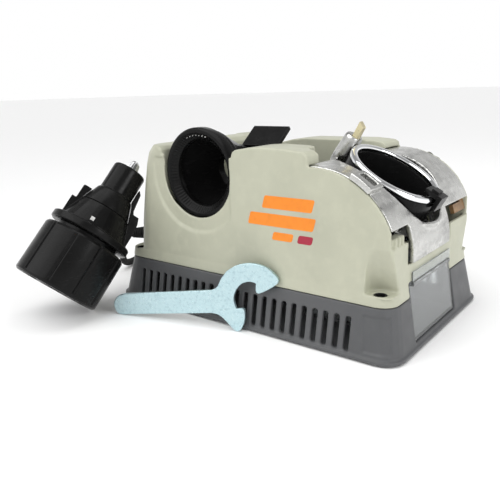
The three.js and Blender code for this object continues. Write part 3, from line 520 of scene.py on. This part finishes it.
def plug():
    """A moulded two-blade plug, its body lofted through rounded sections, and its folded blades."""
    x0, x1, y, height, neck = -57.6, -18, 184, 19.6, 4.7
    sections = [
        (x0, 2.9, 1.4, 8), (x0 + 1, 3.3, 1.1, 8.3), (x0 + 10, 3.5, 1.2, 9), (x0 + 14, 5.6, 0.9, 13.4),
        (x0 + 17, 8.4, 0.6, 17.6), (x0 + 20, 10, 0.5, 19), (x0 + 24, 10.3, 0.45, 19.3), (x1 - 3, 10.3, 0.45, 19.3),
        (x1 - 1, 10, 0.8, 19), (x1, 9.2, 1.6, 18.2),
    ]
    bm = bmesh.new()
    rings = [[bm.verts.new(Vector((x0, y, neck)) * MM)]]
    count = 48
    for x, half, low, high in sections:
        ring = []
        for i in range(count):
            angle = TURN * i / count
            c, s = math.cos(angle), math.sin(angle)
            side = math.copysign(abs(c) ** 0.62, c) * half
            rise = math.copysign(abs(s) ** 0.62, s) * (high - low) / 2 + (high + low) / 2
            ring.append(bm.verts.new(Vector((x, y + side, min(rise, height))) * MM))
        rings.append(ring)
    rings.append([bm.verts.new(Vector((x1, y, height / 2)) * MM)])
    closed(bm, rings)
    body = add_piece("plug_moulding", mesh_of("plug_moulding", bm), "machine", "soft_rubber")
    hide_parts("plug_body")
    bm = bmesh.new()
    for side in (-1, 1):
        size = Matrix.Diagonal((20, 1.5, 6.3, 1))
        place = Matrix.Translation((x1 + 6.9, y + side * 6.35, 10.3))
        bmesh.ops.create_cube(bm, size=1, matrix=Matrix.Scale(MM, 4) @ place @ size)
    bmesh.ops.bevel(bm, geom=list(bm.edges), offset=0.35 * MM, segments=2, affect="EDGES")
    blades = add_piece("plug_blades", mesh_of("plug_blades", bm, smooth=False), "machine", "bright_steel", BLADE_METAL)
    return [body, blades]


# ---- Machine ----
def mouldings():
    soften("upper_housing", 0.75, 5)
    soften("base_tray", 0.7, 3)
    for i in range(1, 5):
        screw = bevelled("housing_screw_%d" % i, 0.25)
        low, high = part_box(screw.name)
        centre = (low + high) / 2 / MM
        seat = [(3.1, 39.6), (4.1, 39.6), (4.1, 41.7), (3.1, 41.7)]
        place = Matrix.Translation((centre.x, centre.y, 0))
        turned("screw_seat_%d" % i, seat, place, "machine", "black_plastic", segments=48, corner=0.3)
        foot = nodes["rubber_foot_%d" % i]
        low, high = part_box(foot.name)
        centre = (low + high) / 2 / MM
        profile = [(0, 0), (8, 0), (7.7, 2.5), (0, 2.5)]
        place = Matrix.Translation((centre.x, centre.y, 0))
        turned("foot_pad_%d" % i, profile, place, "machine", "soft_rubber", [foot.name], segments=64)


def front_graphic():
    """Plain slanted bars printed on the front wall, with no lettering."""
    wall_low, wall_high, low_z, high_z = 70.7, 69.6, 42, 130
    bars = [
        ("stripe_top", INK_ORANGE, 22, 61, 88.5, 97),
        ("stripe_middle", INK_ORANGE, 10, 62, 76.5, 85),
        ("stripe_bottom", INK_ORANGE, 30, 46, 67.5, 73),
        ("stripe_end", INK_RED, 50, 61, 67.5, 73),
    ]
    slant, thickness, corner = 0.28, 0.12, 1.4
    for name, look, x0, x1, z0, z1 in bars:
        bm = bmesh.new()
        rings = []
        for proud in (0.0, thickness):
            ring = []
            for quarter, (x, z) in enumerate(((x1, z1), (x0, z1), (x0, z0), (x1, z0))):
                cx = x - math.copysign(corner, x - (x0 + x1) / 2)
                cz = z - math.copysign(corner, z - (z0 + z1) / 2)
                for step in range(5):
                    angle = (quarter + step / 4) * math.pi / 2
                    px, pz = cx + corner * math.cos(angle), cz + corner * math.sin(angle)
                    wall = wall_low + (wall_high - wall_low) * (pz - low_z) / (high_z - low_z)
                    lean = px + (pz - z0) * slant
                    ring.append(bm.verts.new(Vector((lean, -wall + 0.03 - proud, pz)) * MM))
            rings.append(ring)
        bm.faces.new(rings[0])
        bm.faces.new(rings[1])
        closed(bm, rings)
        add_piece(name, mesh_of(name, bm, smooth=False), "machine", "housing_beige", look)


def ribbed(r, height, angle):
    """Fine ribs on the sloping inner lip of the alignment ring."""
    on_lip = 25 < r < 29 and height < -60
    return r + 0.25 * math.copysign(1, math.sin(72 * angle + 0.1)) if on_lip else r


def alignment_port():
    ring = [
        (24.4, -58.3), (33, -58.3), (33, -65), (31.6, -66.6), (29.4, -66.6), (28.2, -65.4), (25.6, -62.7), (24.4, -61.5),
    ]
    turned(
        "port_ring", ring, ALIGN, "alignment_ring", "gloss_black", ["alignment_ring"], segments=288, corner=0.4,
        shape=ribbed,
    )
    soften("alignment_tube", 0.55, 5)
    bm = bmesh.new()
    ticks, first, last = 7, 74, 112
    for i in range(ticks):
        angle = math.radians(first + (last - first) * i / (ticks - 1))
        r = 27.6
        slope = Matrix.Rotation(math.radians(-45), 4, "Y")
        place = ALIGN @ Matrix.Rotation(-angle, 4, "Z") @ Matrix.Translation((r, 0, -65)) @ slope
        size = Matrix.Diagonal((1.4, 0.6, 0.14, 1))
        bmesh.ops.create_cube(bm, size=1, matrix=Matrix.Scale(MM, 4) @ place @ size)
    add_piece("ring_ticks", mesh_of("ring_ticks", bm, smooth=False), "alignment_ring", "gloss_black", INK_WHITE)


def timing_parts():
    for name in ("lever_bracket", "inner_deck", "timing_claw_left", "timing_claw_right", "lever_pin"):
        bevelled(name, 0.5)
    soften("timing_lever", 0.35, 5)


def sharpening_port():
    soften("saddle_casting", 0.55, 6)
    chrome = [(28.7, 54), (33.6, 54), (33.6, 56.2), (32.7, 57.5), (29.7, 57.5), (28.7, 56.6)]
    turned("rim_ring", chrome, PORT, "port_head", "chrome_trim", ["chrome_ring"], corner=0.7)
    sleeve = [
        (28.7, 22), (33.2, 22), (33.2, 30), (39.2, 30), (39.2, 32.6), (33.2, 32.6), (33.2, 53.7), (28.7, 53.7),
    ]
    turned("port_liner", sleeve, PORT, "port_head", "gloss_black", ["port_sleeve"], corner=0.4)
    for name in ("follower_pin", "guide_tab", "angle_scale_plate", "lock_stud"):
        bevelled(name, 0.3)
    soften("lock_knob", 0.4, 6)
    bevelled("wear_strip_front", 0.3)
    bevelled("wear_strip_back", 0.3)


def drive():
    for name in ("motor_can", "motor_end_bell", "front_bearing", "rear_bearing", "rotor_shaft", "commutator"):
        bevelled(name, 0.3)
    for name in ("carbon_brush_front", "carbon_brush_back", "cooling_fan", "motor_cradle", "wheel_hub", "armature"):
        bevelled(name, 0.3)
    bevelled("wheel_retainer", 0.3)
    low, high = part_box("diamond_wheel")
    wheel = [(8.3, low.x / MM), (19, low.x / MM), (19, high.x / MM), (8.3, high.x / MM)]
    turned("grinding_wheel", wheel, MOTOR, "rotor", "diamond_grit", ["diamond_wheel"], corner=0.6)
    bevelled("debris_tray", 0.5)
    tray_lip()
    bevelled("switch_bezel", 0.5)
    soften("power_rocker", 0.35, 5)


def tray_lip():
    """The tray's thin pull lip, which lies over the housing's end wall."""
    bm = bmesh.new()
    size = Matrix.Diagonal((0.8, 67, 6.6, 1))
    place = Matrix.Translation((117, -7.5, 48.2)) @ Matrix.Rotation(math.radians(-1.5), 4, "Y")
    bmesh.ops.create_cube(bm, size=1, matrix=Matrix.Scale(MM, 4) @ place @ size)
    bmesh.ops.bevel(bm, geom=list(bm.edges), offset=0.25 * MM, segments=2, affect="EDGES")
    add_piece("tray_lip", mesh_of("tray_lip", bm, smooth=False), "debris_tray", "clear_tray")


# ---- Chuck ----
KNOB_LENGTH = 43.5
GROOVES = 10
GROOVE_PHASE = math.radians(20)
GROOVE_DEPTH, GROOVE_FROM = 1.4, 3
CONE_SLOPE = 11.9 / 32.2
INDEX_ANGLE = math.radians(-48)


def grooved(r, height, angle):
    """The knob's outer wall with ten narrow V grooves that run out at its top."""
    if r < 30 or height < GROOVE_FROM:
        return r
    pitch = TURN / GROOVES
    off = (angle - GROOVE_PHASE + pitch / 2) % pitch - pitch / 2
    return min(r, CHUCK_KNOB_R - GROOVE_DEPTH + CHUCK_KNOB_R * abs(off))


def cone_r(height):
    """The radius of the cone that the cam collar and the body share."""
    return 26.8 - (height - 53.8) * CONE_SLOPE


def chuck():
    wall = [(CHUCK_KNOB_R, h) for h in (1.6, GROOVE_FROM - 0.01, GROOVE_FROM + 0.01, KNOB_LENGTH - 2)]
    knob = [(12.5, 0), (16, 0), (16, 5), (28, 5), (28, 0), (31.6, 0), *wall, (32, KNOB_LENGTH), (12.5, KNOB_LENGTH)]
    turned(
        "grip_knob", knob, CHUCK, "chuck_knob", "gloss_black", ["chuck_knob"], segments=480, corner=0.4, shape=grooved,
    )
    body = [
        (12.2, 43.8), (25, 43.8), (25, 47), (31, 47), (32.4, 48), (32.4, 52.6), (31.4, 53.4), (17.6, 53.4),
        (17.6, 72.3), (cone_r(72.3), 72.3), (14.9, 86), (13.5, 87.5), (13.5, 108.8), (12.9, 110), (12.2, 110),
    ]
    turned("chuck_barrel", body, CHUCK, "chuck", "gloss_black", ["chuck_body"], segments=160, corner=0.4)
    soften("chuck_cam", 0.4, 5)
    for i in range(1, 7):
        bevelled("jaw_%d" % i, 0.2)
    bm = bmesh.new()
    height, width, length = 56.8, 3, 5
    flare = Matrix.Rotation(math.atan(CONE_SLOPE), 4, "Y")
    place = CHUCK @ Matrix.Rotation(INDEX_ANGLE, 4, "Z") @ Matrix.Translation((cone_r(height), 0, height)) @ flare
    size = Matrix.Diagonal((0.4, width, length, 1))
    bmesh.ops.create_cube(bm, size=1, matrix=Matrix.Scale(MM, 4) @ place @ size)
    add_piece("index_mark", mesh_of("index_mark", bm, smooth=False), "chuck", "gloss_black", INK_WHITE)


def spanner():
    soften("flat_spanner", 0.4, 5)


# ---- Floor and light ----
def studio():
    bpy.ops.mesh.primitive_plane_add(size=60, location=(0, 0, 0))
    floor = bpy.context.object
    floor.name = "floor"
    look = Look("floor_paper", (0.97, 0.97, 0.97), 0.9, Specular_IOR_Level=0.1)
    floor.data.materials.append(look.material)
    world = bpy.data.worlds.new("studio")
    world.use_nodes = True
    tree = world.node_tree
    background = tree.nodes["Background"]
    background.inputs["Color"].default_value = (1, 1, 1, 1)
    heading = tree.nodes.new("ShaderNodeSeparateXYZ")
    tree.links.new(tree.nodes.new("ShaderNodeTexCoord").outputs["Generated"], heading.inputs[0])
    fall = tree.nodes.new("ShaderNodeMapRange")
    for socket, number in zip(("From Min", "From Max", "To Min", "To Max"), (0.16, 0.6, 1, 0.32)):
        fall.inputs[socket].default_value = number
    tree.links.new(heading.outputs["Z"], fall.inputs["Value"])
    tree.links.new(fall.outputs["Result"], background.inputs["Strength"])
    scene.world = world
    add_lamp("sun", "SUN", (-0.25, -0.55, 1), 1.9).angle = math.radians(70)
    for name, at, power, size in (
        ("key", (-0.45, -0.85, 0.75), 0.6, 0.5),
        ("top", (0.05, 0.1, 1), 1.5, 0.5),
        ("side", (0.9, -0.1, 0.5), 2.8, 0.4),
    ):
        add_lamp(name, "AREA", at, power).size = size


def add_lamp(name, kind, at, power):
    data = bpy.data.lights.new(name, kind)
    data.energy = power
    lamp = bpy.data.objects.new(name, data)
    lamp.location = at
    lamp.rotation_euler = (Vector((0, 0, 0.06)) - Vector(at)).to_track_quat("-Z", "Y").to_euler()
    scene.collection.objects.link(lamp)
    return data


add_camera()
paint_frame()
boot = strain_relief_boot()
power_cord([boot, *plug()])
mouldings()
front_graphic()
alignment_port()
timing_parts()
sharpening_port()
drive()
chuck()
spanner()
studio()
